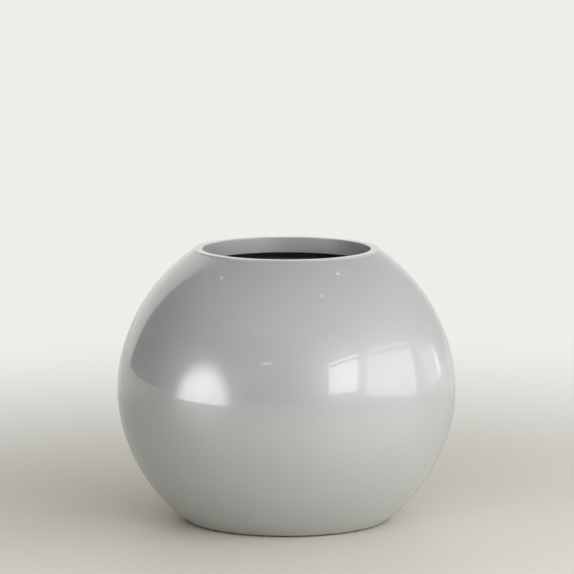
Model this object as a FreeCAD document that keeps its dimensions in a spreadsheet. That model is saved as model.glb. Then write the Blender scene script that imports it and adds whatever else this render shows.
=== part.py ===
import FreeCAD, Part
import math
import os
import Sketcher

# Globe floor planter: a moulded shell on rubber pads, with a drain plug in its floor and a lift-out
# liner that has two folding wire handles. Millimetres and degrees, +Z up, origin on the floor under
# the middle of the base. The front is towards -Y.

SIZES = {
    # Shell: heights are taken from the standing ring under its base
    "belly_diameter": 600,
    "belly_height": 230,
    "shoulder_height": 250,
    "belly_arc_radius": 267,
    "belly_arc_angle": 16,
    "base_diameter": 366,
    "mouth_diameter": 297,
    "rim_width": 16,
    "rim_edge": 2.2,
    "rim_thickness": 6,
    "rim_round": 1.5,
    "lip_depth": 28,
    "lip_wall": 4,
    "lip_round": 1.5,
    "shell_wall": 5,
    "floor_thickness": 6,
    "floor_fillet": 10,
    "base_recess": 4,
    "base_round": 4,
    "standing_ring_width": 40,
    "drain_bore": 26,
    # Foot pads
    "pad_count": 4,
    "pad_diameter": 30,
    "pad_thickness": 3,
    "pad_round": 1,
    # Drain plug
    "plug_clearance": 0.1,
    "plug_taper": 1.4,
    "plug_length": 9,
    "plug_head_diameter": 42,
    "plug_head_thickness": 4,
    "plug_round": 1.2,
    "plug_loop_radius": 10,
    "plug_loop_wire": 5,
    # Liner: heights are taken from its foot
    "liner_drop": 48,
    "liner_gap": 19,
    "liner_flange": 17,
    "liner_wall": 3,
    "liner_rim_skirt": 14,
    "liner_edge_round": 1.4,
    "liner_flange_fillet": 2.5,
    "liner_band_height": 86,
    "liner_band_draft": 2,
    "liner_step": 4,
    "liner_step_rise": 6,
    "liner_step_round": 8,
    "liner_taper": 10,
    "liner_floor_height": 60,
    "liner_floor_fillet": 8,
    "liner_hole_bore": 10,
    "liner_hole_circle": 130,
    "liner_hole_count": 8,
    "arch_width": 44,
    "arch_height": 32,
    "arch_count": 4,
    "gusset_depth": 30,
    "gusset_thickness": 3,
    "gusset_count": 12,
    # Lugs on the liner's rim, and the handles hinged in them
    "lug_thickness": 7,
    "lug_margin": 7,
    "lug_round": 1.5,
    "hinge_offset": 12,
    "hinge_clearance": 0.1,
    "wire_diameter": 5,
    "wire_bend": 6,
    "wire_gap": 0.5,
    "wire_tail": 3,
    "grip_diameter": 11,
    "grip_collar_diameter": 14,
    "grip_angle": 46,
    "grip_collar_angle": 1.6,
    "grip_rib_diameter": 12.4,
    "grip_rib_angle": 1.2,
    "grip_rib_count": 9,
    "grip_fit": 0.15,
    "grip_rest_gap": 0.3,
}

# Lengths that several pieces share, as expressions of the sheet
MOUTH_RADIUS = "(Sizes.mouth_diameter / 2)"
RIM_RADIUS = f"({MOUTH_RADIUS} + Sizes.rim_width)"
BASE_RADIUS = "(Sizes.base_diameter / 2)"
SHELL_HEIGHT = "(Sizes.belly_height + Sizes.shoulder_height)"
RIM_FOOT = f"({SHELL_HEIGHT} - Sizes.rim_edge)"
FLOOR_TOP = "(Sizes.base_recess + Sizes.floor_thickness)"
BORE_RADIUS = "(Sizes.drain_bore / 2)"
LINER_HEIGHT = f"({SHELL_HEIGHT} - {FLOOR_TOP} - Sizes.liner_drop)"
LINER_RIM_RADIUS = f"({MOUTH_RADIUS} - Sizes.liner_gap)"
LINER_MOUTH_RADIUS = f"({LINER_RIM_RADIUS} - Sizes.liner_flange)"
HINGE_HEIGHT = f"({LINER_HEIGHT} + Sizes.grip_collar_diameter / 2 + Sizes.grip_rest_gap)"
LUG_FACE = f"({LINER_MOUTH_RADIUS} + Sizes.lug_thickness)"
WIRE_RADIUS = "(Sizes.wire_diameter / 2)"
BEND_START = f"({LUG_FACE} + Sizes.wire_gap)"
BEND_HEIGHT = "(Sizes.hinge_offset + Sizes.wire_bend)"
BAIL_RADIUS = f"(Sizes.wire_bend + sqrt({BEND_START}^2 + {BEND_HEIGHT}^2))"
FLOOR_LEVEL = f"(Sizes.pad_thickness + {FLOOR_TOP})"

# The ends of a sketch's curve, its middle, and the sketch's own origin and axes
START, END, CENTRE = range(1, 4)
ROOT = (-1, 1)
X_AXIS, Y_AXIS = range(-1, -3, -1)
NEAR = 1e-4

doc = FreeCAD.newDocument("globe_planter")
sheet = doc.addObject("Spreadsheet::Sheet", "Sizes")
for row, (name, size) in enumerate(SIZES.items(), start=1):
    sheet.set(f"A{row}", str(size))
    sheet.setAlias(f"A{row}", name)
doc.recompute()


def value(expression):
    """The number that an expression of the sheet comes to."""
    return float(sheet.evalExpression(expression))


def vector(x, y):
    return FreeCAD.Vector(value(x), value(y), 0)


def new_body(label):
    body = doc.addObject("PartDesign::Body", label)
    body.Label = label
    return body


def origin_part(body, role):
    return next(part for part in body.Origin.OriginFeatures if part.Role == role)


def new_sketch(body, name, plane, offset="0"):
    """A sketch on one of the body's own origin planes, moved along that plane's normal."""
    sketch = body.newObject("Sketcher::SketchObject", f"{body.Label}_{name}")
    sketch.AttachmentSupport = [(origin_part(body, plane), "")]
    sketch.MapMode = "FlatFace"
    sketch.setExpression("AttachmentOffset.Base.z", offset)
    return sketch


def measure(sketch, kind, points, expression):
    """A dimension between two points, or of one curve, that follows the sheet."""
    numbers = [number for point in points for number in point]
    index = sketch.addConstraint(Sketcher.Constraint(kind, *numbers, value(expression)))
    sketch.setExpression(f"Constraints[{index}]", expression)


def place_across(sketch, curve, end, x):
    """Fixes how far a point lies to the side of the sketch's origin."""
    place_along(sketch, "DistanceX", Y_AXIS, (curve, end), x)


def place_up(sketch, curve, end, y):
    """Fixes how far a point lies above the sketch's origin."""
    place_along(sketch, "DistanceY", X_AXIS, (curve, end), y)


def place_along(sketch, kind, axis, point, expression):
    distance = value(expression)
    if abs(distance) < NEAR:
        sketch.addConstraint(Sketcher.Constraint("PointOnObject", *point, axis))
    elif distance > 0:
        measure(sketch, kind, (ROOT, point), expression)
    else:
        measure(sketch, kind, (point, ROOT), f"-({expression})")


def place(sketch, curve, end, x, y):
    place_across(sketch, curve, end, x)
    place_up(sketch, curve, end, y)


def join(sketch, first, first_end, second, second_end, kind="Coincident"):
    sketch.addConstraint(Sketcher.Constraint(kind, first, first_end, second, second_end))


def add_line(sketch, start, end):
    return sketch.addGeometry(Part.LineSegment(start, end), False)


def add_arc(sketch, centre, start, end):
    """An arc drawn counter-clockwise from start to end."""
    circle = Part.Circle(centre, FreeCAD.Vector(0, 0, 1), (start - centre).Length)
    angles = [math.atan2((point - centre).y, (point - centre).x) for point in (start, end)]
    return sketch.addGeometry(Part.ArcOfCircle(circle, *angles), False)


def add_circle(sketch, x, y, radius):
    centre = vector(x, y)
    curve = sketch.addGeometry(Part.Circle(centre, FreeCAD.Vector(0, 0, 1), value(radius)), False)
    place(sketch, curve, CENTRE, x, y)
    measure(sketch, "Radius", ((curve,),), radius)


def add_outline(sketch, corners):
    """A closed outline of straight runs, with each corner a pair of expressions."""
    points = [vector(x, y) for x, y in corners]
    runs = [add_line(sketch, start, end) for start, end in zip(points, points[1:] + points[:1])]
    for run, following in zip(runs, runs[1:] + runs[:1]):
        join(sketch, run, END, following, START)
    for run, (x, y) in zip(runs, corners):
        place(sketch, run, START, x, y)


def add_feature(body, kind, name, profile, **settings):
    feature = body.newObject(f"PartDesign::{kind}", f"{body.Label}_{name}")
    feature.Profile = profile
    for key, setting in settings.items():
        setattr(feature, key, setting)
    profile.Visibility = False
    return feature


def revolve(body, name, profile):
    return add_feature(body, "Revolution", name, profile,
                       ReferenceAxis=(profile, ["V_Axis"]), Angle=360.0)


def pad(body, name, profile, length, **settings):
    feature = add_feature(body, "Pad", name, profile, **settings)
    feature.setExpression("Length", length)
    return feature


def cut(body, name, profile, length):
    """A pocket along the sketch's normal, which has to take something away."""
    doc.recompute()
    before = body.Shape.Volume
    feature = add_feature(body, "Pocket", name, profile, Reversed=True)
    feature.setExpression("Length", length)
    doc.recompute()
    if body.Shape.Volume > before - 1:
        raise RuntimeError(f"{feature.Name} cuts nothing")
    return feature


def repeat_round(body, name, feature, count):
    """Copies of a feature spaced evenly about the upright axis."""
    pattern = body.newObject("PartDesign::PolarPattern", f"{body.Label}_{name}")
    pattern.Originals = [feature]
    pattern.Axis = (origin_part(body, "Z_Axis"), [""])
    pattern.Angle = 360.0
    pattern.setExpression("Occurrences", count)
    body.Tip = pattern
    doc.recompute()


def round_edges(body, name, rings, radius):
    """Fillets the round edges about the upright axis that have the given radii and heights."""
    doc.recompute()
    base = body.Tip
    names = []
    for index, edge in enumerate(base.Shape.Edges, start=1):
        if not isinstance(edge.Curve, Part.Circle):
            continue
        centre = edge.Curve.Center
        here = (edge.Curve.Radius, centre.z)
        on_axis = math.hypot(centre.x, centre.y) < NEAR
        if on_axis and any(math.dist(here, ring) < 0.01 for ring in rings):
            names.append(f"Edge{index}")
    if len(names) != len(rings):
        raise RuntimeError(f"{body.Label} {name}: {len(names)} of {len(rings)} edges found")
    fillet = body.newObject("PartDesign::Fillet", f"{body.Label}_{name}")
    fillet.Base = (base, names)
    fillet.setExpression("Radius", radius)
    doc.recompute()


def ring(radius, height):
    return (value(radius), value(height))


def make_shell():
    """The moulded globe: a belly arc that runs into flatter arcs up to the rim and down to the base."""
    body = new_body("shell")
    body.setExpression("Placement.Base.z", "Sizes.pad_thickness")
    sketch = new_sketch(body, "profile", "XZ_Plane")
    outer = draw_outer_wall(sketch)
    inner = draw_inner_wall(sketch, outer)
    draw_rim(sketch, outer["shoulder"], inner["shoulder"])
    floor_run = draw_floor(sketch, outer["foot"], inner["foot"])
    doc.recompute()
    floor_edge = sketch.getPoint(floor_run, START)
    revolve(body, "wall", sketch)
    lip_end = f"({SHELL_HEIGHT} - Sizes.lip_depth)"
    round_edges(body, "rim_round", [ring(RIM_RADIUS, SHELL_HEIGHT)],
                "min(Sizes.rim_round; 0.8 * Sizes.rim_edge)")
    round_edges(body, "lip_rounds", [
        ring(MOUTH_RADIUS, SHELL_HEIGHT),
        ring(MOUTH_RADIUS, lip_end),
        ring(f"{MOUTH_RADIUS} + Sizes.lip_wall", lip_end),
    ], "min(Sizes.lip_round; 0.45 * Sizes.lip_wall)")
    round_edges(body, "base_round", [ring(BASE_RADIUS, "0")], "Sizes.base_round")
    round_edges(body, "floor_fillet", [(floor_edge.x, floor_edge.y)], "Sizes.floor_fillet")
    return body


def flank_centre(centre, junction, far_end):
    """The middle of the arc that leaves the belly arc at junction and ends at far_end."""
    outward = (junction - centre).normalize()
    chord = far_end - junction
    radius = -chord.Length ** 2 / (2 * outward.dot(chord))
    return junction - outward * radius


def draw_outer_wall(sketch):
    """Outer face, from the base edge up to the rim, as three arcs that meet without a corner."""
    reach = "(Sizes.belly_arc_radius * cos(Sizes.belly_arc_angle))"
    rise = "(Sizes.belly_arc_radius * sin(Sizes.belly_arc_angle))"
    middle = "(Sizes.belly_diameter / 2 - Sizes.belly_arc_radius)"
    centre = vector(middle, "Sizes.belly_height")
    low = vector(f"{middle} + {reach}", f"Sizes.belly_height - {rise}")
    high = vector(f"{middle} + {reach}", f"Sizes.belly_height + {rise}")
    base = vector(BASE_RADIUS, "0")
    rim = vector(RIM_RADIUS, RIM_FOOT)
    foot = add_arc(sketch, flank_centre(centre, low, base), base, low)
    belly = add_arc(sketch, centre, low, high)
    shoulder = add_arc(sketch, flank_centre(centre, high, rim), high, rim)
    place(sketch, belly, CENTRE, middle, "Sizes.belly_height")
    measure(sketch, "Radius", ((belly,),), "Sizes.belly_arc_radius")
    place_up(sketch, belly, START, f"Sizes.belly_height - {rise}")
    place_up(sketch, belly, END, f"Sizes.belly_height + {rise}")
    join(sketch, foot, END, belly, START, "Tangent")
    join(sketch, belly, END, shoulder, START, "Tangent")
    place(sketch, foot, START, BASE_RADIUS, "0")
    place(sketch, shoulder, END, RIM_RADIUS, RIM_FOOT)
    return {"foot": foot, "belly": belly, "shoulder": shoulder}


def draw_inner_wall(sketch, outer):
    """Inner face, one wall thickness inside the outer arcs and about the same middles."""
    wall = value("Sizes.shell_wall")
    inner = {}
    for name, curve in outer.items():
        arc = sketch.Geometry[curve]
        smaller = Part.Circle(arc.Center, FreeCAD.Vector(0, 0, 1), arc.Radius - wall)
        inner[name] = sketch.addGeometry(
            Part.ArcOfCircle(smaller, arc.FirstParameter, arc.LastParameter), False)
        join(sketch, inner[name], CENTRE, curve, CENTRE)
    radius = "(Sizes.belly_arc_radius - Sizes.shell_wall)"
    rise = f"({radius} * sin(Sizes.belly_arc_angle))"
    measure(sketch, "Radius", ((inner["belly"],),), radius)
    place_up(sketch, inner["belly"], START, f"Sizes.belly_height - {rise}")
    place_up(sketch, inner["belly"], END, f"Sizes.belly_height + {rise}")
    join(sketch, inner["foot"], END, inner["belly"], START)
    join(sketch, inner["belly"], END, inner["shoulder"], START)
    return inner


def draw_rim(sketch, outer_arc, inner_arc):
    """Flat rim with an upright outer edge, and the lip turned down inside the mouth."""
    lip_end = f"({SHELL_HEIGHT} - Sizes.lip_depth)"
    lip_back = f"({MOUTH_RADIUS} + Sizes.lip_wall)"
    underside = f"({SHELL_HEIGHT} - Sizes.rim_thickness)"
    corners = [(RIM_RADIUS, RIM_FOOT), (RIM_RADIUS, SHELL_HEIGHT), (MOUTH_RADIUS, SHELL_HEIGHT),
               (MOUTH_RADIUS, lip_end), (lip_back, lip_end), (lip_back, underside)]
    points = [vector(x, y) for x, y in corners] + [vector(RIM_RADIUS, underside)]
    runs = [add_line(sketch, start, end) for start, end in zip(points, points[1:])]
    join(sketch, outer_arc, END, runs[0], START)
    for run, following, (x, y) in zip(runs, runs[1:], corners[1:]):
        join(sketch, run, END, following, START)
        place(sketch, following, START, x, y)
    sketch.addConstraint(Sketcher.Constraint("Horizontal", runs[-1]))
    join(sketch, runs[-1], END, inner_arc, END)


def draw_floor(sketch, outer_arc, inner_arc):
    """Floor with its drain bore, and the standing ring round the hollow under it."""
    ring_inside = f"({BASE_RADIUS} - Sizes.standing_ring_width)"
    corners = [(BORE_RADIUS, FLOOR_TOP), (BORE_RADIUS, "Sizes.base_recess"),
               (ring_inside, "Sizes.base_recess"), (ring_inside, "0")]
    points = [vector(BASE_RADIUS, FLOOR_TOP)] + [vector(x, y) for x, y in corners] + [vector(BASE_RADIUS, "0")]
    runs = [add_line(sketch, start, end) for start, end in zip(points, points[1:])]
    join(sketch, inner_arc, START, runs[0], START)
    sketch.addConstraint(Sketcher.Constraint("Horizontal", runs[0]))
    for run, following, (x, y) in zip(runs, runs[1:], corners):
        join(sketch, run, END, following, START)
        place(sketch, following, START, x, y)
    join(sketch, runs[-1], END, outer_arc, START)
    return runs[0]


def make_foot_pad(number):
    """One of the rubber discs under the standing ring."""
    body = new_body(f"foot_pad_{number}")
    circle = f"({BASE_RADIUS} - Sizes.standing_ring_width / 2)"
    turn = f"({number - 0.5} * 360 / Sizes.pad_count)"
    body.setExpression("Placement.Base.x", f"{circle} * cos({turn})")
    body.setExpression("Placement.Base.y", f"{circle} * sin({turn})")
    sketch = new_sketch(body, "outline", "XY_Plane")
    add_circle(sketch, "0", "0", "Sizes.pad_diameter / 2")
    pad(body, "disc", sketch, "Sizes.pad_thickness")
    round_edges(body, "edge", [ring("Sizes.pad_diameter / 2", "0")], "Sizes.pad_round")
    return body


def make_drain_plug():
    """Tapered bung with a flat head on the floor and a loop to pull it by."""
    body = new_body("drain_plug")
    body.setExpression("Placement.Base.z", FLOOR_LEVEL)
    sketch = new_sketch(body, "profile", "XZ_Plane")
    shank = f"({BORE_RADIUS} - Sizes.plug_clearance)"
    head = "(Sizes.plug_head_diameter / 2)"
    add_outline(sketch, [
        ("0", "-Sizes.plug_length"), (f"{shank} - Sizes.plug_taper", "-Sizes.plug_length"), (shank, "0"),
        (head, "0"), (head, "Sizes.plug_head_thickness"), ("0", "Sizes.plug_head_thickness"),
    ])
    revolve(body, "bung", sketch)
    round_edges(body, "rounds", [
        ring(head, "Sizes.plug_head_thickness"), ring(f"{shank} - Sizes.plug_taper", "-Sizes.plug_length"),
    ], "Sizes.plug_round")
    loop = new_sketch(body, "loop_section", "XY_Plane", "Sizes.plug_head_thickness")
    add_circle(loop, "Sizes.plug_loop_radius", "0", "Sizes.plug_loop_wire / 2")
    add_feature(body, "Revolution", "loop", loop, ReferenceAxis=(loop, ["V_Axis"]), Angle=180.0, Reversed=True)
    doc.recompute()
    return body


def make_liner():
    """Lift-out tub: a stepped, tapered wall on an arched skirt, with a flanged rim and hinge lugs."""
    body = new_body("liner")
    body.setExpression("Placement.Base.z", FLOOR_LEVEL)
    sketch = new_sketch(body, "profile", "XZ_Plane")
    wall = "Sizes.liner_wall"
    top = f"({LINER_MOUTH_RADIUS} + {wall})"
    band = f"({top} - Sizes.liner_band_draft)"
    neck = f"({band} - Sizes.liner_step)"
    foot = f"({neck} - Sizes.liner_taper)"
    band_foot = f"({LINER_HEIGHT} - Sizes.liner_band_height)"
    step_foot = f"({band_foot} - Sizes.liner_step_rise)"
    floor_foot = "Sizes.liner_floor_height"
    floor_top = f"({floor_foot} + {wall})"
    slope = f"(Sizes.liner_taper / {step_foot})"
    under_flange = f"({LINER_HEIGHT} - {wall})"
    skirt_end = f"({LINER_HEIGHT} - Sizes.liner_rim_skirt)"
    floor_edge = f"({foot} - {wall} + {slope} * {floor_top})"
    add_outline(sketch, [
        (foot, "0"), (neck, step_foot), (band, band_foot), (top, under_flange),
        (f"{LINER_RIM_RADIUS} - {wall}", under_flange), (f"{LINER_RIM_RADIUS} - {wall}", skirt_end),
        (LINER_RIM_RADIUS, skirt_end), (LINER_RIM_RADIUS, LINER_HEIGHT), (LINER_MOUTH_RADIUS, LINER_HEIGHT),
        (f"{band} - {wall}", band_foot), (f"{neck} - {wall}", step_foot),
        (floor_edge, floor_top), ("0", floor_top), ("0", floor_foot),
        (f"{foot} - {wall} + {slope} * {floor_foot}", floor_foot), (f"{foot} - {wall}", "0"),
    ])
    revolve(body, "tub", sketch)
    round_edges(body, "edge_rounds", [
        ring(LINER_RIM_RADIUS, LINER_HEIGHT), ring(LINER_MOUTH_RADIUS, LINER_HEIGHT),
        ring(LINER_RIM_RADIUS, skirt_end), ring(f"{LINER_RIM_RADIUS} - {wall}", skirt_end),
        ring(foot, "0"), ring(f"{foot} - {wall}", "0"),
    ], f"min(Sizes.liner_edge_round; 0.45 * {wall})")
    round_edges(body, "flange_fillets", [
        ring(top, under_flange), ring(f"{LINER_RIM_RADIUS} - {wall}", under_flange),
    ], "Sizes.liner_flange_fillet")
    round_edges(body, "step_rounds", [
        ring(neck, step_foot), ring(band, band_foot),
        ring(f"{neck} - {wall}", step_foot), ring(f"{band} - {wall}", band_foot),
    ], "Sizes.liner_step_round")
    round_edges(body, "floor_fillet", [ring(floor_edge, floor_top)], "Sizes.liner_floor_fillet")
    add_gussets(body, top, under_flange)
    add_lugs(body)
    cut_drain_holes(body, floor_top)
    cut_arches(body)
    return body


def add_gussets(body, wall_face, under_flange):
    """Small webs that stiffen the rim's flange from below."""
    wall_middle = f"({wall_face} - Sizes.liner_band_draft - Sizes.liner_wall / 2)"
    skirt_middle = f"({LINER_RIM_RADIUS} - Sizes.liner_wall / 2)"
    flange_middle = f"({under_flange} + Sizes.liner_wall / 2)"
    skirt_end = f"({LINER_HEIGHT} - Sizes.liner_rim_skirt)"
    sketch = new_sketch(body, "gusset", "XZ_Plane")
    add_outline(sketch, [
        (wall_middle, flange_middle), (wall_middle, f"{under_flange} - Sizes.gusset_depth"),
        (wall_face, f"{under_flange} - Sizes.gusset_depth"), (skirt_middle, skirt_end),
        (skirt_middle, flange_middle),
    ])
    web = pad(body, "gusset_web", sketch, "Sizes.gusset_thickness", Midplane=True)
    doc.recompute()
    repeat_round(body, "gussets", web, "Sizes.gusset_count")


def add_lugs(body):
    """Two upright lugs across the rim, each bored for one end of both handles."""
    sketch = new_sketch(body, "lug_outline", "YZ_Plane", LINER_MOUTH_RADIUS)
    side = "(Sizes.hinge_offset + Sizes.lug_margin)"
    foot = f"({LINER_HEIGHT} - Sizes.liner_wall / 2)"
    crown = f"({HINGE_HEIGHT} + Sizes.lug_margin)"
    offset = "Sizes.hinge_offset"
    base = add_line(sketch, vector(f"-{side}", foot), vector(side, foot))
    right = add_line(sketch, vector(side, foot), vector(side, HINGE_HEIGHT))
    right_arc = add_arc(sketch, vector(offset, HINGE_HEIGHT), vector(side, HINGE_HEIGHT), vector(offset, crown))
    flat = add_line(sketch, vector(offset, crown), vector(f"-{offset}", crown))
    left_arc = add_arc(sketch, vector(f"-{offset}", HINGE_HEIGHT), vector(f"-{offset}", crown),
                       vector(f"-{side}", HINGE_HEIGHT))
    left = add_line(sketch, vector(f"-{side}", HINGE_HEIGHT), vector(f"-{side}", foot))
    curves = [base, right, right_arc, flat, left_arc, left]
    corners = [(side, foot), (side, HINGE_HEIGHT), (offset, crown), (f"-{offset}", crown),
               (f"-{side}", HINGE_HEIGHT), (f"-{side}", foot)]
    for curve, following, (x, y) in zip(curves, curves[1:] + curves[:1], corners):
        join(sketch, curve, END, following, START)
        place(sketch, following, START, x, y)
    for arc in (right_arc, left_arc):
        place_up(sketch, arc, CENTRE, HINGE_HEIGHT)
    bore = f"{WIRE_RADIUS} + Sizes.hinge_clearance"
    add_circle(sketch, offset, HINGE_HEIGHT, bore)
    add_circle(sketch, f"-{offset}", HINGE_HEIGHT, bore)
    lug = pad(body, "lug", sketch, "Sizes.lug_thickness")
    doc.recompute()
    mirror = body.newObject("PartDesign::Mirrored", "liner_lugs")
    mirror.Originals = [lug]
    mirror.MirrorPlane = (origin_part(body, "YZ_Plane"), [""])
    body.Tip = mirror
    round_lugs(body)


def round_lugs(body):
    """Softens the outer edges of the lugs, all but the mouths of their bores."""
    doc.recompute()
    base = body.Tip
    face = value(LUG_FACE)
    above_rim = value(LINER_HEIGHT) + NEAR
    bore = value(f"{WIRE_RADIUS} + Sizes.hinge_clearance")
    names = []
    for index, edge in enumerate(base.Shape.Edges, start=1):
        on_face = all(abs(abs(vertex.X) - face) < NEAR for vertex in edge.Vertexes)
        raised = max(vertex.Z for vertex in edge.Vertexes) > above_rim
        bored = isinstance(edge.Curve, Part.Circle) and abs(edge.Curve.Radius - bore) < NEAR
        if on_face and raised and not bored:
            names.append(f"Edge{index}")
    fillet = body.newObject("PartDesign::Fillet", "liner_lug_rounds")
    fillet.Base = (base, names)
    fillet.setExpression("Radius", "Sizes.lug_round")
    doc.recompute()


def cut_drain_holes(body, floor_top):
    """Round holes through the liner's floor, on one circle."""
    sketch = new_sketch(body, "drain_hole", "XY_Plane")
    add_circle(sketch, "Sizes.liner_hole_circle / 2", "0", "Sizes.liner_hole_bore / 2")
    hole = cut(body, "drain_hole_cut", sketch, f"{floor_top} + Sizes.liner_wall")
    repeat_round(body, "drain_holes", hole, "Sizes.liner_hole_count")


def cut_arches(body):
    """Round-topped openings in the skirt, so that water runs freely under the liner."""
    sketch = new_sketch(body, "arch", "YZ_Plane")
    half = "(Sizes.arch_width / 2)"
    spring = f"(Sizes.arch_height - {half})"
    foot = "-Sizes.liner_wall"
    corners = [(half, foot), (half, spring), (f"-{half}", spring), (f"-{half}", foot)]
    points = [vector(x, y) for x, y in corners]
    right = add_line(sketch, points[0], points[1])
    crown = add_arc(sketch, vector("0", spring), points[1], points[2])
    left = add_line(sketch, points[2], points[3])
    base = add_line(sketch, points[3], points[0])
    curves = [right, crown, left, base]
    for curve, following in zip(curves, curves[1:] + curves[:1]):
        join(sketch, curve, END, following, START)
    for curve, (x, y) in zip(curves, corners):
        place(sketch, curve, START, x, y)
    place_up(sketch, crown, CENTRE, spring)
    arch = cut(body, "arch_cut", sketch, LINER_RIM_RADIUS)
    repeat_round(body, "arches", arch, "Sizes.arch_count")


def make_bail(label, turn):
    """Wire handle: a half ring over the liner's rim, with its ends bent in through the lugs."""
    body = new_body(label)
    set_on_hinges(body, turn)
    path = new_sketch(body, "path", "XY_Plane")
    draw_bail_path(path)
    section = new_sketch(body, "section", "YZ_Plane", f"{LINER_MOUTH_RADIUS} - Sizes.wire_tail")
    add_circle(section, "Sizes.hinge_offset", "0", WIRE_RADIUS)
    doc.recompute()
    wire = add_feature(body, "AdditivePipe", "wire", section)
    wire.Spine = (path, [f"Edge{number}" for number in range(1, len(path.Shape.Edges) + 1)])
    path.Visibility = False
    doc.recompute()
    return body


def draw_bail_path(sketch):
    """Right tail, right bend, half ring, left bend and left tail, each tangent to the next."""
    tail = f"({LINER_MOUTH_RADIUS} - Sizes.wire_tail)"
    share = f"({BAIL_RADIUS} / ({BAIL_RADIUS} - Sizes.wire_bend))"
    touch_x = f"({BEND_START} * {share})"
    touch_y = f"({BEND_HEIGHT} * {share})"
    offset = "Sizes.hinge_offset"
    right_tail = add_line(sketch, vector(tail, offset), vector(BEND_START, offset))
    right_bend = add_arc(sketch, vector(BEND_START, BEND_HEIGHT), vector(BEND_START, offset),
                         vector(touch_x, touch_y))
    hoop = add_arc(sketch, vector("0", "0"), vector(touch_x, touch_y), vector(f"-{touch_x}", touch_y))
    left_bend = add_arc(sketch, vector(f"-{BEND_START}", BEND_HEIGHT), vector(f"-{touch_x}", touch_y),
                        vector(f"-{BEND_START}", offset))
    left_tail = add_line(sketch, vector(f"-{BEND_START}", offset), vector(f"-{tail}", offset))
    curves = [right_tail, right_bend, hoop, left_bend, left_tail]
    for curve, following in zip(curves, curves[1:]):
        join(sketch, curve, END, following, START, "Tangent")
    sketch.addConstraint(Sketcher.Constraint("Coincident", hoop, CENTRE, *ROOT))
    place(sketch, right_tail, START, tail, offset)
    place(sketch, left_tail, END, f"-{tail}", offset)
    place(sketch, right_bend, CENTRE, BEND_START, BEND_HEIGHT)
    place(sketch, left_bend, CENTRE, f"-{BEND_START}", BEND_HEIGHT)
    measure(sketch, "Radius", ((right_bend,),), "Sizes.wire_bend")


def set_on_hinges(piece, turn):
    """Lays a handle's piece at the height of the hinges, turned to its own side."""
    piece.Placement = FreeCAD.Placement(FreeCAD.Vector(0, 0, 0), FreeCAD.Rotation(FreeCAD.Vector(0, 0, 1), turn))
    piece.setExpression("Placement.Base.z", f"{FLOOR_LEVEL} + {HINGE_HEIGHT}")


def make_grip(label, turn):
    """Moulded sleeve round the middle of a handle, with a collar at each end and ribs between."""
    half = "(Sizes.grip_angle / 2)"
    body = bail_segment(f"{label}_sleeve", "Sizes.grip_diameter", "Sizes.grip_angle", f"-{half}")
    collar_starts = [f"-{half}", f"{half} - Sizes.grip_collar_angle"]
    collars = [
        bail_segment(f"{label}_collar_{number}", "Sizes.grip_collar_diameter", "Sizes.grip_collar_angle", start)
        for number, start in enumerate(collar_starts, start=1)
    ]
    pitch = "(Sizes.grip_angle / (Sizes.grip_rib_count + 1))"
    ribs = [
        bail_segment(f"{label}_rib_{number}", "Sizes.grip_rib_diameter", "Sizes.grip_rib_angle",
                     f"{number} * {pitch} - {half} - Sizes.grip_rib_angle / 2")
        for number in range(1, int(value("Sizes.grip_rib_count")) + 1)
    ]
    outside = doc.addObject("Part::MultiFuse", f"{label}_outside")
    outside.Shapes = [body, *collars, *ribs]
    bore = bail_segment(f"{label}_bore", "Sizes.wire_diameter + 2 * Sizes.grip_fit",
                        "Sizes.grip_angle + 2 * Sizes.grip_collar_angle", f"-{half} - Sizes.grip_collar_angle")
    grip = doc.addObject("Part::Cut", label)
    grip.Label = label
    grip.Base = outside
    grip.Tool = bore
    set_on_hinges(grip, turn)
    doc.recompute()
    return grip


def bail_segment(name, diameter, sweep, start):
    """A round bar along part of the handle's half ring, its start counted from the middle of the handle."""
    bar = doc.addObject("Part::Torus", name)
    bar.Placement = FreeCAD.Placement(FreeCAD.Vector(0, 0, 0), FreeCAD.Rotation(FreeCAD.Vector(0, 0, 1), 90))
    bar.setExpression("Radius1", BAIL_RADIUS)
    bar.setExpression("Radius2", f"({diameter}) / 2")
    bar.setExpression("Angle3", sweep)
    bar.setExpression("Placement.Rotation.Angle", f"90 + {start}")
    return bar


def check_and_write(pieces):
    """Stops on any failed object, then writes one file for each piece."""
    doc.recompute()
    failed = [item.Name for item in doc.Objects if {"Invalid", "Error"} & set(item.State)]
    if failed:
        raise RuntimeError(f"failed objects: {failed}")
    os.makedirs("parts", exist_ok=True)
    for piece in pieces:
        shape = piece.Shape
        if shape.isNull() or not shape.isValid() or len(shape.Solids) != 1:
            raise RuntimeError(f"{piece.Label} is not one valid solid")
    for piece in pieces:
        piece.Shape.exportStep(f"parts/{piece.Label}.step")
        print(f"{piece.Label}: {piece.Shape.Volume / 1000:.1f} cubic centimetres")


REAR, FRONT = 0, 180
check_and_write([
    make_shell(),
    *[make_foot_pad(number) for number in range(1, int(value("Sizes.pad_count")) + 1)],
    make_drain_plug(),
    make_liner(),
    make_bail("bail_rear", REAR),
    make_bail("bail_front", FRONT),
    make_grip("grip_rear", REAR),
    make_grip("grip_front", FRONT),
])
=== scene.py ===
import math

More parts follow.
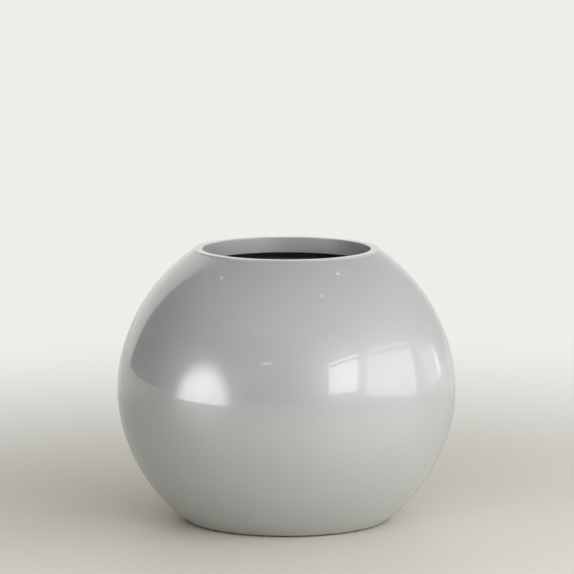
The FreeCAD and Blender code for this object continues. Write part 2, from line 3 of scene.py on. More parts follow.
import bpy
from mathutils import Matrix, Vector


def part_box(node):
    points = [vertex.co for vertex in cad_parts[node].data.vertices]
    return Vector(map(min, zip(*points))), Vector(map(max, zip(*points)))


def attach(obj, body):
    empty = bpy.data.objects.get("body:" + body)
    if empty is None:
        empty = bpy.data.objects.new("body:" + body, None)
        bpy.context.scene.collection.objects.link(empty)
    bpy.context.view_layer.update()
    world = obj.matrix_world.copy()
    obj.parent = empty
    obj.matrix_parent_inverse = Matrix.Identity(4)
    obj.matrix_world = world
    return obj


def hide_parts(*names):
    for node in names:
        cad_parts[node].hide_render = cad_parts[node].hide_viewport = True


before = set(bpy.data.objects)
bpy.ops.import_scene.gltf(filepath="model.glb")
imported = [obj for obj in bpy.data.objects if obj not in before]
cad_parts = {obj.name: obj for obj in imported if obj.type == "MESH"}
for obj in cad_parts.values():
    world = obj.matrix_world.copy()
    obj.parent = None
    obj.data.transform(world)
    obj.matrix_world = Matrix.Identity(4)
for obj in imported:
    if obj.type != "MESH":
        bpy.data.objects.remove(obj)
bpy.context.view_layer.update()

# Globe floor planter: the shell is turned here from the same arcs as the moulding, and the other
# pieces keep their own solids. Metres and degrees, +Z up, the front towards -Y.

# Shell, heights from the standing ring
PAD_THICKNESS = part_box("foot_pad_1")[1].z
BELLY_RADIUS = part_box("shell")[1].x
SHELL_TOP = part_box("shell")[1].z
BELLY_HEIGHT = 0.230
BELLY_ARC_RADIUS = 0.267
BELLY_ARC_ANGLE = math.radians(16)
BASE_RADIUS = 0.183
MOUTH_RADIUS = 0.1485
RIM_WIDTH = 0.016
RIM_EDGE = 0.0022
RIM_THICKNESS = 0.006
RIM_ROUND = 0.0015
LIP_DEPTH = 0.028
LIP_WALL = 0.004
LIP_ROUND = 0.0015
SHELL_WALL = 0.005
FLOOR_THICKNESS = 0.006
FLOOR_FILLET = 0.010
BASE_RECESS = 0.004
BASE_ROUND = 0.004
STANDING_RING_WIDTH = 0.040
DRAIN_RADIUS = 0.013
SEGMENTS = 384
ARC_STEP = math.radians(2)
SHARP_ANGLE = math.radians(35)
# How far a flank's arc stops short of its corner, in radii of the corner's round
BASE_TRIM = 1.6
FLOOR_TRIM = 1.2

# Handles
HINGE_HEIGHT = (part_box("bail_rear")[0].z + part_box("bail_rear")[1].z) / 2
WIRE_RADIUS = (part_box("bail_rear")[1].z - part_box("bail_rear")[0].z) / 2
BAIL_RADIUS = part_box("bail_rear")[1].y - WIRE_RADIUS

# Camera
IMAGE_SIDE = 574
FOCAL_PIXELS = 3900
SENSOR_MM = 36
CAMERA_DISTANCE = 6.893
CAMERA_ELEVATION = math.radians(8.125)
CAMERA_AIM = Vector((0.0009, 0, 0.4136))
CAMERA_REACH = 200


def add_node(tree, kind, inputs=None, **settings):
    """A node with its settings, and its inputs linked to sockets or set to values."""
    node = tree.nodes.new(kind)
    for key, setting in settings.items():
        setattr(node, key, setting)
    for key, given in (inputs or {}).items():
        if isinstance(given, bpy.types.NodeSocket):
            tree.links.new(given, node.inputs[key])
        else:
            node.inputs[key].default_value = given
    return node


def math_node(tree, operation, *values):
    return add_node(tree, "ShaderNodeMath", dict(enumerate(values)), operation=operation).outputs[0]


def ramp(tree, value, low, high, out_low=0.0, out_high=1.0):
    """Smooth change from out_low to out_high as value goes from low to high."""
    node = add_node(tree, "ShaderNodeMapRange", {
        "Value": value, "From Min": low, "From Max": high, "To Min": out_low, "To Max": out_high,
    }, interpolation_type="SMOOTHSTEP")
    return node.outputs["Result"]


def mix_colours(tree, share, first, second):
    node = add_node(tree, "ShaderNodeMix", data_type="RGBA")
    for key, given in (("Factor_Float", share), ("A_Color", first), ("B_Color", second)):
        socket = next(item for item in node.inputs if item.identifier == key)
        if isinstance(given, bpy.types.NodeSocket):
            tree.links.new(given, socket)
        else:
            socket.default_value = given
    return next(item for item in node.outputs if item.identifier == "Result_Color")


def noise(tree, place, scale, detail=2.0, roughness=0.5):
    node = add_node(tree, "ShaderNodeTexNoise", {
        "Vector": place, "Scale": scale, "Detail": detail, "Roughness": roughness,
    })
    return node.outputs["Fac"]


def bump(tree, height, distance, normal=None):
    """A bump with its height in metres."""
    inputs = {"Height": height, "Distance": distance, "Strength": 1.0}
    if normal is not None:
        inputs["Normal"] = normal
    return add_node(tree, "ShaderNodeBump", inputs).outputs["Normal"]


def grey(level):
    return (level, level, level, 1.0)


def new_material(name):
    """An empty material, its node tree and the coordinates of the piece that wears it."""
    material = bpy.data.materials.new(name)
    material.use_nodes = True
    tree = material.node_tree
    tree.nodes.clear()
    place = add_node(tree, "ShaderNodeTexCoord").outputs["Object"]
    return material, tree, place


def close_material(tree, inputs):
    shader = add_node(tree, "ShaderNodeBsdfPrincipled", inputs)
    add_node(tree, "ShaderNodeOutputMaterial", {"Surface": shader.outputs["BSDF"]})


def ring_place(tree, place):
    """Distance from the upright axis, and height."""
    split = add_node(tree, "ShaderNodeSeparateXYZ", {"Vector": place})
    x, y, z = split.outputs
    across = math_node(tree, "SQRT", math_node(tree, "ADD", math_node(tree, "MULTIPLY", x, x),
                                               math_node(tree, "MULTIPLY", y, y)))
    return across, z


# Lacquer: flakes under a clear coat, a rubbed rim, and a patchy band that turns darker and browner close to
# the floor
LACQUER_DARK = (0.395, 0.398, 0.400, 1)
LACQUER_LIGHT = (0.455, 0.458, 0.460, 1)
LACQUER_METALLIC = 0.22
LACQUER_ROUGHNESS = (0.30, 0.38)
SMEAR_SCALE = 18.0
FLAKE_SCALE = 1600.0
FLAKE_HEIGHT = 0.00001
FLAKE_SHARE = 0.5
CLOUD_SCALE = 5.0
RUB_DEPTH = 0.0025
RUB_SCALE = 60.0
RUB_SHARE = 0.35
RUB_LEVEL = 0.52
# Patchy band that turns darker and browner towards the floor: where it starts, where it is full, its patch
# size, its share and its colour
LOW_BAND_TOP, LOW_BAND_FULL = 0.030, 0.004
LOW_BAND_SCALE = 35.0
LOW_BAND_SHARE = 0.3
LOW_BAND_COLOUR = (0.30, 0.285, 0.25, 1)
PEEL_SCALE = 190.0
PEEL_HEIGHT = 0.000012
COAT_ROUGHNESS = 0.035
COAT_IOR = 1.6


def lacquer_material():
    """Silver-grey lacquer: fine flakes under a clear coat with a slight orange peel."""
    material, tree, place = new_material("lacquer")
    _, height = ring_place(tree, place)
    flakes = add_node(tree, "ShaderNodeTexVoronoi", {"Vector": place, "Scale": FLAKE_SCALE})
    flake_tone = ramp(tree, flakes.outputs["Color"], 0.0, 1.0)
    clouds = noise(tree, place, CLOUD_SCALE, 3.0)
    tone = math_node(tree, "ADD", math_node(tree, "MULTIPLY", flake_tone, FLAKE_SHARE),
                     math_node(tree, "MULTIPLY", clouds, 1 - FLAKE_SHARE))
    paint = mix_colours(tree, tone, LACQUER_DARK, LACQUER_LIGHT)
    rub = math_node(tree, "MULTIPLY", ramp(tree, height, SHELL_TOP - RUB_DEPTH, SHELL_TOP),
                    ramp(tree, noise(tree, place, RUB_SCALE, 4.0), 0.5, 0.75))
    rubbed = mix_colours(tree, math_node(tree, "MULTIPLY", rub, RUB_SHARE), paint, grey(RUB_LEVEL))
    # Darker and browner in patches towards the floor
    low_band = math_node(tree, "MULTIPLY", ramp(tree, height, LOW_BAND_TOP, LOW_BAND_FULL),
                     ramp(tree, noise(tree, place, LOW_BAND_SCALE, 5.0), 0.3, 0.8))
    low_darkened = mix_colours(tree, math_node(tree, "MULTIPLY", low_band, LOW_BAND_SHARE), rubbed, LOW_BAND_COLOUR)
    roughness = ramp(tree, noise(tree, place, SMEAR_SCALE, 4.0), 0.25, 0.75, *LACQUER_ROUGHNESS)
    peel = bump(tree, noise(tree, place, PEEL_SCALE, 1.0), PEEL_HEIGHT)
    sparkle = bump(tree, flake_tone, FLAKE_HEIGHT, peel)
    close_material(tree, {
        "Base Color": low_darkened, "Metallic": LACQUER_METALLIC, "Roughness": roughness, "Normal": sparkle,
        "Coat Weight": 1.0, "Coat Roughness": COAT_ROUGHNESS, "Coat IOR": COAT_IOR, "Coat Normal": peel,
    })
    return material


# Laminate: strands that lie in several directions in a cloudy resin
STRAND_TURNS = (0.2, 1.0, 1.9, 2.7)
STRAND_STRETCH = (14.0, 420.0, 420.0)
STRAND_SHARE = 0.55
STRAND_COLOUR = (0.29, 0.29, 0.275, 1)
RESIN_DARK = (0.12, 0.122, 0.12, 1)
RESIN_LIGHT = (0.17, 0.17, 0.165, 1)
RESIN_SCALE = 22.0
RESIN_HEIGHT_SHARE = 0.8
LAMINATE_ROUGHNESS = (0.42, 0.62)
LAMINATE_HEIGHT = 0.0003


def laminate_material():
    """Bare chopped-strand glass-fibre laminate on the hidden faces."""
    material, tree, place = new_material("laminate")
    strands = None
    for turn in STRAND_TURNS:
        turned = add_node(tree, "ShaderNodeMapping", {
            "Vector": place, "Rotation": (turn, 0.7 * turn, turn), "Scale": STRAND_STRETCH,
        }).outputs["Vector"]
        lines = ramp(tree, noise(tree, turned, 1.0, 2.0), 0.52, 0.70)
        strands = lines if strands is None else math_node(tree, "MAXIMUM", strands, lines)
    clouds = noise(tree, place, RESIN_SCALE, 4.0)
    resin = mix_colours(tree, clouds, RESIN_DARK, RESIN_LIGHT)
    colour = mix_colours(tree, math_node(tree, "MULTIPLY", strands, STRAND_SHARE), resin, STRAND_COLOUR)
    roughness = ramp(tree, clouds, 0.3, 0.7, *LAMINATE_ROUGHNESS)
    height = math_node(tree, "ADD", strands, math_node(tree, "MULTIPLY", clouds, RESIN_HEIGHT_SHARE))
    close_material(tree, {
        "Base Color": colour, "Roughness": roughness, "Normal": bump(tree, height, LAMINATE_HEIGHT),
    })
    return material


# Moulded plastic and rubber: worn edges, scuffs that run up and down, and a blotchy tone
EDGE_SAMPLES = 6
WEAR_RANGE = (0.97, 0.80)
WEAR_SHARE = 0.35
WEAR_LIGHTENS = 2.6
SCUFF_STRETCH = (180.0, 180.0, 16.0)
SCUFF_SHARE = 0.30
SCUFF_LIGHTENS = 2.2
SCUFF_ROUGHENS = 0.08
BLOTCH_SCALE = 14.0
ROUGH_SPREAD = 0.07


def worn_edges(tree, radius):
    """Rounded normal, and the share of wear on edges from how far it turns off the true one."""
    rounded = add_node(tree, "ShaderNodeBevel", {"Radius": radius}, samples=EDGE_SAMPLES).outputs["Normal"]
    true = add_node(tree, "ShaderNodeNewGeometry").outputs["Normal"]
    compare = add_node(tree, "ShaderNodeVectorMath", {0: rounded, 1: true}, operation="DOT_PRODUCT")
    return rounded, ramp(tree, compare.outputs["Value"], *WEAR_RANGE)


def moulded_material(name, dark, light, grain_scale, grain_height, edge_radius, rough):
    """Moulded plastic or rubber: eroded grain, softened edges and slight scuffs."""
    material, tree, place = new_material(name)
    rounded, wear = worn_edges(tree, edge_radius)
    clouds = noise(tree, place, BLOTCH_SCALE, 5.0)
    stretched = add_node(tree, "ShaderNodeMapping", {"Vector": place, "Scale": SCUFF_STRETCH})
    scuffs = ramp(tree, noise(tree, stretched.outputs["Vector"], 1.0, 3.0), 0.62, 0.80)
    body = mix_colours(tree, clouds, grey(dark), grey(light))
    scuff_share = math_node(tree, "MULTIPLY", scuffs, SCUFF_SHARE)
    scuffed = mix_colours(tree, scuff_share, body, grey(SCUFF_LIGHTENS * light))
    wear_share = math_node(tree, "MULTIPLY", wear, WEAR_SHARE)
    colour = mix_colours(tree, wear_share, scuffed, grey(WEAR_LIGHTENS * light))
    unscuffed = ramp(tree, clouds, 0.3, 0.7, rough - ROUGH_SPREAD, rough + ROUGH_SPREAD)
    roughness = math_node(tree, "ADD", unscuffed, math_node(tree, "MULTIPLY", scuffs, SCUFF_ROUGHENS))
    grain = noise(tree, place, grain_scale, 3.0, 0.6)
    close_material(tree, {
        "Base Color": colour, "Roughness": roughness, "Normal": bump(tree, grain, grain_height, rounded),
    })
    return material


# Wire: zinc with a spangle, drawing lines along its length and dull patches
ZINC_COOL = (0.50, 0.52, 0.55, 1)
ZINC_WARM = (0.66, 0.66, 0.64, 1)
ZINC_DULL = (0.36, 0.36, 0.35, 1)
SPANGLE_SCALE = 90.0
DRAWN_LINES = 14.0
LINE_HEIGHT = 0.00004
WIRE_ROUGHNESS = (0.20, 0.32)
DULL_SCALE = 40.0
DULL_SHARE = 0.4
DULL_ROUGHENS = 0.15


def wire_material():
    """Bright zinc on drawn wire, with drawing lines along its length."""
    material, tree, place = new_material("zinc_wire")
    across, height = ring_place(tree, place)
    out = math_node(tree, "SUBTRACT", across, BAIL_RADIUS)
    up = math_node(tree, "SUBTRACT", height, HINGE_HEIGHT)
    turn = math_node(tree, "ARCTAN2", up, out)
    lines = add_node(tree, "ShaderNodeTexNoise", {
        "W": math_node(tree, "MULTIPLY", turn, DRAWN_LINES), "Detail": 4.0,
    }, noise_dimensions="1D").outputs["Fac"]
    spangle = noise(tree, place, SPANGLE_SCALE, 3.0)
    zinc = mix_colours(tree, spangle, ZINC_COOL, ZINC_WARM)
    dull = ramp(tree, noise(tree, place, DULL_SCALE, 5.0), 0.55, 0.8)
    colour = mix_colours(tree, math_node(tree, "MULTIPLY", dull, DULL_SHARE), zinc, ZINC_DULL)
    roughness = math_node(tree, "ADD", ramp(tree, lines, 0.3, 0.7, *WIRE_ROUGHNESS),
                          math_node(tree, "MULTIPLY", dull, DULL_ROUGHENS))
    drawn = bump(tree, lines, LINE_HEIGHT)
    close_material(tree, {
        "Base Color": colour, "Metallic": 1.0, "Roughness": roughness, "Normal": drawn,
    })
    return material


def arc_points(centre, radius, start, end):
    """Points along an arc, both ends included, with angles in radians."""
    count = max(2, math.ceil(abs(end - start) / ARC_STEP))
    turns = [start + (end - start) * number / count for number in range(count + 1)]
    return [centre + radius * Vector((math.cos(turn), math.sin(turn))) for turn in turns]


def flank_arc(centre, junction, far_end):
    """Middle and radius of the arc that leaves the belly arc at junction and ends at far_end."""
    outward = (junction - centre).normalized()
    chord = far_end - junction
    radius = -chord.length_squared / (2 * outward.dot(chord))
    return junction - outward * radius, radius


def angle_of(point, centre):
    return math.atan2(point.y - centre.y, point.x - centre.x)


def round_corner(before, corner, after, radius):
    """Points of a fillet between two nearly straight runs that meet at corner."""
    back = (before - corner).normalized()
    ahead = (after - corner).normalized()
    half = back.angle(ahead) / 2
    middle = corner + (back + ahead).normalized() * radius / math.sin(half)
    first = corner + back * radius / math.tan(half)
    last = corner + ahead * radius / math.tan(half)
    start = angle_of(first, middle)
    sweep = (angle_of(last, middle) - start + math.pi) % (2 * math.pi) - math.pi
    return arc_points(middle, radius, start, start + sweep)


def shell_profile():
    """Outline of the wall's section in (radius, height), as three zones of points.

    They are the lacquered outside from behind the lip to the base, the underside, and the inside.
    """
    top = SHELL_TOP - PAD_THICKNESS
    rim_radius = MOUTH_RADIUS + RIM_WIDTH
    centre = Vector((BELLY_RADIUS - BELLY_ARC_RADIUS, BELLY_HEIGHT))
    high = centre + BELLY_ARC_RADIUS * Vector((math.cos(BELLY_ARC_ANGLE), math.sin(BELLY_ARC_ANGLE)))
    low = centre + BELLY_ARC_RADIUS * Vector((math.cos(BELLY_ARC_ANGLE), -math.sin(BELLY_ARC_ANGLE)))
    rim_top = Vector((rim_radius, top))
    rim_foot = Vector((rim_radius, top - RIM_EDGE))
    base = Vector((BASE_RADIUS, 0))
    upper_centre, upper_radius = flank_arc(centre, high, rim_foot)
    lower_centre, lower_radius = flank_arc(centre, low, base)
    rim_turn = angle_of(rim_foot, upper_centre)
    base_turn = angle_of(base, lower_centre)
    base_trim = BASE_TRIM * BASE_ROUND / lower_radius

    lip_end = top - LIP_DEPTH
    lip_back = MOUTH_RADIUS + LIP_WALL
    underside = top - RIM_THICKNESS
    mouth_top = Vector((MOUTH_RADIUS, top))
    lip_inner = Vector((MOUTH_RADIUS, lip_end))
    lip_outer = Vector((lip_back, lip_end))
    behind = Vector((lip_back, underside))
    shoulder = arc_points(upper_centre, upper_radius, rim_turn, BELLY_ARC_ANGLE)
    foot = arc_points(lower_centre, lower_radius, -BELLY_ARC_ANGLE, base_turn + base_trim)
    lacquered = [
        behind,
        *round_corner(behind, lip_outer, lip_inner, LIP_ROUND),
        *round_corner(lip_outer, lip_inner, mouth_top, LIP_ROUND),
        *round_corner(lip_inner, mouth_top, rim_top, LIP_ROUND),
        *round_corner(mouth_top, rim_top, rim_foot, RIM_ROUND),
        *shoulder,
        *arc_points(centre, BELLY_ARC_RADIUS, BELLY_ARC_ANGLE, -BELLY_ARC_ANGLE)[1:-1],
        *foot,
        *round_corner(foot[-1], base, Vector((0, 0)), BASE_ROUND),
    ]
    ring_inside = BASE_RADIUS - STANDING_RING_WIDTH
    floor_top = BASE_RECESS + FLOOR_THICKNESS
    underneath = [
        lacquered[-1],
        Vector((ring_inside, 0)),
        Vector((ring_inside, BASE_RECESS)),
        Vector((DRAIN_RADIUS, BASE_RECESS)),
        Vector((DRAIN_RADIUS, floor_top)),
    ]
    lower_inner = lower_radius - SHELL_WALL
    upper_inner = upper_radius - SHELL_WALL
    floor_turn = math.asin((floor_top - lower_centre.y) / lower_inner)
    floor_edge = lower_centre + lower_inner * Vector((math.cos(floor_turn), math.sin(floor_turn)))
    ledge_turn = math.asin((underside - upper_centre.y) / upper_inner)
    floor_trim = FLOOR_TRIM * FLOOR_FILLET / lower_inner
    inner_foot = arc_points(lower_centre, lower_inner, floor_turn + floor_trim, -BELLY_ARC_ANGLE)
    inside = [
        underneath[-1],
        *round_corner(underneath[-1], floor_edge, inner_foot[0], FLOOR_FILLET),
        *inner_foot,
        *arc_points(centre, BELLY_ARC_RADIUS - SHELL_WALL, -BELLY_ARC_ANGLE, BELLY_ARC_ANGLE)[1:-1],
        *arc_points(upper_centre, upper_inner, BELLY_ARC_ANGLE, ledge_turn),
        behind,
    ]
    return lacquered, underneath, inside


def turn_zones(name, zones, materials):
    """A closed ring mesh turned about the upright axis, one material to each zone of its outline."""
    outline = []
    slots = []
    for number, zone in enumerate(zones):
        outline += zone[:-1]
        slots += [number] * (len(zone) - 1)
    turns = [2 * math.pi * step / SEGMENTS for step in range(SEGMENTS)]
    points = [(point.x * math.cos(turn), point.x * math.sin(turn), point.y + PAD_THICKNESS)
              for turn in turns for point in outline]
    count = len(outline)
    faces = []
    face_slots = []
    for step in range(SEGMENTS):
        here = step * count
        there = (step + 1) % SEGMENTS * count
        for row, slot in enumerate(slots):
            following = (row + 1) % count
            faces.append((here + row, here + following, there + following, there + row))
            face_slots.append(slot)
    mesh = bpy.data.meshes.new(name)
    mesh.from_pydata(points, [], faces)
    for material in materials:
        mesh.materials.append(material)
    mesh.polygons.foreach_set("material_index", face_slots)
    mesh.polygons.foreach_set("use_smooth", [True] * len(faces))
    mesh.update()
    mesh.set_sharp_from_angle(angle=SHARP_ANGLE)
    piece = bpy.data.objects.new(name, mesh)
    bpy.context.scene.collection.objects.link(piece)
    return piece


def dress(node, material):
    """Gives a carried-over solid its finish."""
    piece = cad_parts[node]
    piece.data.materials.clear()
    piece.data.materials.append(material)


def make_object():
    lacquer = lacquer_material()
    laminate = laminate_material()
    shell = turn_zones("globe_shell", shell_profile(), [lacquer, laminate, laminate])
    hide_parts("shell")
    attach(shell, "planter")
    pad_rubber = moulded_material("pad_rubber", dark=0.018, light=0.034, grain_scale=900.0,
                                  grain_height=0.00008, edge_radius=0.0006, rough=0.75)
    plug_rubber = moulded_material("plug_rubber", dark=0.030, light=0.060, grain_scale=700.0,
                                   grain_height=0.00006, edge_radius=0.0007, rough=0.55)
    liner_plastic = moulded_material("liner_plastic", dark=0.055, light=0.085, grain_scale=1100.0,
                                     grain_height=0.00009, edge_radius=0.0008, rough=0.48)
    grip_plastic = moulded_material("grip_plastic", dark=0.017, light=0.032, grain_scale=1500.0,
                                    grain_height=0.00006, edge_radius=0.0006, rough=0.40)
    wire = wire_material()
    for number in range(1, 5):
        dress(f"foot_pad_{number}", pad_rubber)
    dress("drain_plug", plug_rubber)
    dress("liner", liner_plastic)
    for side in ("front", "rear"):
        dress(f"bail_{side}", wire)
        dress(f"grip_{side}", grip_plastic)


FLOOR_SIDE = 120.0
FLOOR_ROUGHNESS = 0.55
FLOOR_NEAR = (0.675, 0.658, 0.575, 1)
FLOOR_FAR = (0.86, 0.85, 0.81, 1)
FADE_START, FADE_END = 0.35, 2.2
FRONT_IN_GLOSS, REAR_IN_GLOSS = 0.46, 0.85
REAR_START, REAR_END = 0.0, 1.6


def make_floor():
    """Plain pale floor that pales with distance into the backdrop and takes the shadow near the object."""
    half = FLOOR_SIDE / 2
    mesh = bpy.data.meshes.new("floor")
    corners = [(-half, -half, 0), (half, -half, 0), (half, half, 0), (-half, half, 0)]
    mesh.from_pydata(corners, [], [(0, 1, 2, 3)])
    floor = bpy.data.objects.new("floor", mesh)
    bpy.context.scene.collection.objects.link(floor)
    material, tree, place = new_material("floor")
    across, _ = ring_place(tree, place)
    far = ramp(tree, across, FADE_START, FADE_END)
    seen = add_node(tree, "ShaderNodeLightPath")
    direct = seen.outputs["Is Camera Ray"]
    shows = math_node(tree, "MAXIMUM", direct, math_node(
        tree, "MAXIMUM", seen.outputs["Is Glossy Ray"], seen.outputs["Is Transmission Ray"]))
    depth = add_node(tree, "ShaderNodeSeparateXYZ", {"Vector": place}).outputs["Y"]
    in_gloss = ramp(tree, depth, REAR_START, REAR_END, FRONT_IN_GLOSS, REAR_IN_GLOSS)
    strength = math_node(tree, "MAXIMUM", direct, in_gloss)
    colour = mix_colours(tree, far, FLOOR_NEAR, FLOOR_FAR)
    matt = add_node(tree, "ShaderNodeBsdfPrincipled", {"Base Color": colour, "Roughness": FLOOR_ROUGHNESS})
    pale = add_node(tree, "ShaderNodeEmission", {"Color": FLOOR_FAR, "Strength": strength})
    mixed = add_node(tree, "ShaderNodeMixShader", {
        0: math_node(tree, "MULTIPLY", far, shows), 1: matt.outputs["BSDF"], 2: pale.outputs["Emission"],
    })
    add_node(tree, "ShaderNodeOutputMaterial", {"Surface": mixed.outputs["Shader"]})
    mesh.materials.append(material)


# Surroundings, with azimuths counted from the camera's side (-Y) towards +X
WALL_TONE = (0.955, 0.945, 0.913, 1)
LEFT_TONE = (0.139, 0.139, 0.136, 1)
FRONT_TONE = (0.03, 0.03, 0.03, 1)
RIGHT_TONE = (0.535, 0.535, 0.535, 1)
CEILING_TONE = (0.355, 0.355, 0.355, 1)
LEFT_CORNER = (math.radians(135.9), math.radians(138.9))
RIGHT_TURN = (math.radians(150), math.radians(178))
LEFT_FADE = (math.radians(-85), math.radians(-20))
RIGHT_FADE = (math.radians(0), math.radians(60))
CEILING_FADE = (0.45, 0.80)


def make_world():
    """Soft surroundings: a pale wall behind, a darker side to the left and a lit ceiling."""
    world = bpy.data.worlds.new("surroundings")
    world.use_nodes = True
    tree = world.node_tree
    tree.nodes.clear()
    way = add_node(tree, "ShaderNodeTexCoord").outputs["Generated"]
    x, y, z = add_node(tree, "ShaderNodeSeparateXYZ", {"Vector": way}).outputs
    azimuth = math_node(tree, "ARCTAN2", x, math_node(tree, "MULTIPLY", y, -1.0))
    behind = math_node(tree, "MAXIMUM", ramp(tree, math_node(tree, "MULTIPLY", azimuth, -1.0), *LEFT_CORNER),
                       ramp(tree, azimuth, *RIGHT_TURN))
    left = mix_colours(tree, ramp(tree, azimuth, *LEFT_FADE), LEFT_TONE, FRONT_TONE)
    sides = mix_colours(tree, ramp(tree, azimuth, *RIGHT_FADE), left, RIGHT_TONE)
    walls = mix_colours(tree, behind, sides, WALL_TONE)
    room = mix_colours(tree, ramp(tree, z, *CEILING_FADE), walls, CEILING_TONE)
    seen = add_node(tree, "ShaderNodeLightPath").outputs["Is Camera Ray"]
    shown = mix_colours(tree, seen, room, FLOOR_FAR)
    background = add_node(tree, "ShaderNodeBackground", {"Color": shown, "Strength": 1.0})
    add_node(tree, "ShaderNodeOutputWorld", {"Surface": background.outputs["Background"]})
    bpy.context.scene.world = world


LAMP_STEP = 0.01


def add_lamp(name, shape, centre, facing, size, shine, light):
    """A flat lamp that the camera doesn't see. Its radiance is shine in reflections and light on matt faces.

    The two lamps that make it stand one step apart, so that neither hides the other, and one without any
    radiance is left out.
    """
    area = size[0] * size[1] * (math.pi / 4 if shape == "ELLIPSE" else 1)
    for step, (role, radiance) in enumerate((("shine", shine), ("light", light))):
        if radiance == 0:
            continue
        data = bpy.data.lights.new(f"{name}_{role}", "AREA")
        data.shape = shape
        data.size, data.size_y = size
        data.energy = radiance * math.pi * area
        lamp = bpy.data.objects.new(f"{name}_{role}", data)
        lamp.location = centre - facing * LAMP_STEP * step
        lamp.rotation_mode = "QUATERNION"
        lamp.rotation_quaternion = facing.to_track_quat("-Z", "Y")
        lamp.visible_camera = False
        lamp.visible_glossy = role == "shine"
        lamp.visible_diffuse = role == "light"
        bpy.context.scene.collection.objects.link(lamp)


def add_pane(name, corners, radiance):
    """A bright four-cornered face that shows only in reflections."""
    material, tree, _ = new_material(name)
    glow = add_node(tree, "ShaderNodeEmission", {"Color": grey(1.0), "Strength": radiance})
    add_node(tree, "ShaderNodeOutputMaterial", {"Surface": glow.outputs["Emission"]})
    mesh = bpy.data.meshes.new(name)
    mesh.from_pydata(corners, [], [(0, 1, 2, 3)])
    mesh.materials.append(material)
    pane = bpy.data.objects.new(name, mesh)
    pane.visible_camera = False
    pane.visible_diffuse = False
    pane.visible_shadow = False
    bpy.context.scene.collection.objects.link(pane)


# Window wall to the right: its azimuth, its distance, and for each pane its ends along the wall at the
# sill, its ends at the transom, and the sill's height at both ends
WINDOW_AZIMUTH = math.radians(53)
WINDOW_DISTANCE = 2.4
WINDOW_PANES = (
    ((-1.17, -0.32), (-1.09, -0.06), (0.51, 0.52)),
    ((-0.07, 2.03), (0.20, 2.48), (0.34, 0.02)),
    ((3.16, 6.40), (3.30, 6.40), (0.02, 0.02)),
    ((7.00, 11.0), (7.00, 11.0), (0.02, 0.02)),
)
TRANSOM_HEIGHT = 1.37
FANLIGHT_SHARES = (1.09, 1.17)
WINDOW_SHINE = (3.1, 1.75, 1.15, 2.0)
WINDOW_LIGHT = 4.7
# Arched opening to the left, its lower half below the floor
ARCH_AZIMUTH = math.radians(-57)
ARCH_DISTANCE = 4.6
ARCH_SIZE = (3.45, 4.44)
ARCH_LAYERS = (1.0, 0.87, 0.74)
ARCH_SHINE = 3.8
# Small ceiling lights, and a strip light over the camera
CEILING_HEIGHT = 2.7
SPOT_PLACES = ((-1.51, 0.53), (-1.53, -0.12), (1.16, 0.38), (0.90, -0.66))
SPOT_SIZE = (0.10, 0.10)
SPOT_SHINE = (2.6, 1.2, 3.6, 2.6)
STRIP_PLACE = (-1.16, -4.55)
STRIP_SIZE = (0.62, 0.26)
STRIP_SHINE = 3.0
# Wide softboxes for the matt faces, one overhead and one in front
OVERHEAD_PLACE = Vector((0.2, -0.6, 2.8))
OVERHEAD_SIZE = (2.6, 2.6)
OVERHEAD_LIGHT = 0.35
FRONT_PLACE = Vector((0, -3.0, 1.4))
FRONT_FACING = Vector((0, 3.0, -1.1)).normalized()
FRONT_SIZE = (6.0, 1.8)
FRONT_LIGHT = 2.3


def towards(azimuth):
    return Vector((math.sin(azimuth), -math.cos(azimuth), 0))


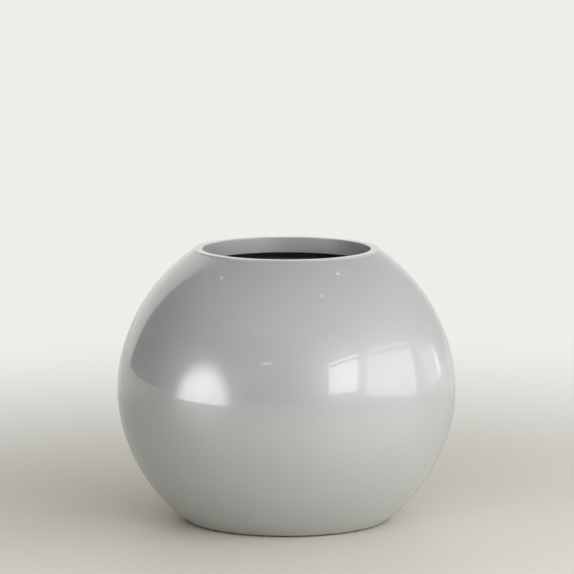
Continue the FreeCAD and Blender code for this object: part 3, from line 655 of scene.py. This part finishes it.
def make_lamps():
    """A window wall to the right, a soft-edged arch to the left, and lamps above and in front."""
    out = towards(WINDOW_AZIMUTH)
    along = Vector((-out.y, out.x, 0))
    for number, (feet, heads, sills) in enumerate(WINDOW_PANES):
        uprights = []
        for foot, head, sill in zip(feet, heads, sills):
            low = out * WINDOW_DISTANCE + along * foot + Vector((0, 0, sill))
            high = out * WINDOW_DISTANCE + along * head + Vector((0, 0, TRANSOM_HEIGHT))
            uprights.append((low, high))
        (left_low, left_high), (right_low, right_high) = uprights
        corners = [left_low, right_low, right_high, left_high]
        add_pane(f"window_pane_{number}_shine", corners, WINDOW_SHINE[number])
        middle = sum(corners, Vector((0, 0, 0))) / 4
        size = ((right_low + right_high - left_low - left_high).length / 2, 2 * (TRANSOM_HEIGHT - middle.z))
        add_lamp(f"window_pane_{number}", "RECTANGLE", middle, -out, size, 0, WINDOW_LIGHT)
        above = [corner.lerp(end, share) for share in FANLIGHT_SHARES for corner, end in uprights]
        add_pane(f"window_fanlight_{number}_shine", [above[0], above[1], above[3], above[2]],
                 WINDOW_SHINE[number])
    down = Vector((0, 0, -1))
    for number, place in enumerate(SPOT_PLACES):
        add_lamp(f"spot_{number}", "ELLIPSE", Vector((*place, CEILING_HEIGHT)), down, SPOT_SIZE,
                 SPOT_SHINE[number], 0)
    add_lamp("strip", "RECTANGLE", Vector((*STRIP_PLACE, CEILING_HEIGHT)), down, STRIP_SIZE, STRIP_SHINE, 0)
    add_lamp("overhead", "RECTANGLE", OVERHEAD_PLACE, down, OVERHEAD_SIZE, 0, OVERHEAD_LIGHT)
    add_lamp("front", "RECTANGLE", FRONT_PLACE, FRONT_FACING, FRONT_SIZE, 0, FRONT_LIGHT)
    out = towards(ARCH_AZIMUTH)
    for number, share in enumerate(ARCH_LAYERS):
        centre = out * (ARCH_DISTANCE - 2 * LAMP_STEP * number)
        add_lamp(f"arch_{number}", "ELLIPSE", centre, -out, [share * side for side in ARCH_SIZE],
                 ARCH_SHINE / len(ARCH_LAYERS), 0)


def make_camera():
    data = bpy.data.cameras.new("camera")
    data.sensor_width = SENSOR_MM
    data.lens = SENSOR_MM * FOCAL_PIXELS / IMAGE_SIDE
    data.clip_end = CAMERA_REACH
    camera = bpy.data.objects.new("camera", data)
    back = Vector((0, -math.cos(CAMERA_ELEVATION), math.sin(CAMERA_ELEVATION)))
    camera.location = CAMERA_AIM + back * CAMERA_DISTANCE
    camera.rotation_mode = "QUATERNION"
    camera.rotation_quaternion = (-back).to_track_quat("-Z", "Y")
    bpy.context.scene.collection.objects.link(camera)
    bpy.context.scene.camera = camera


make_object()
make_floor()
make_world()
make_lamps()
make_camera()
bpy.context.scene.view_settings.view_transform = "Standard"
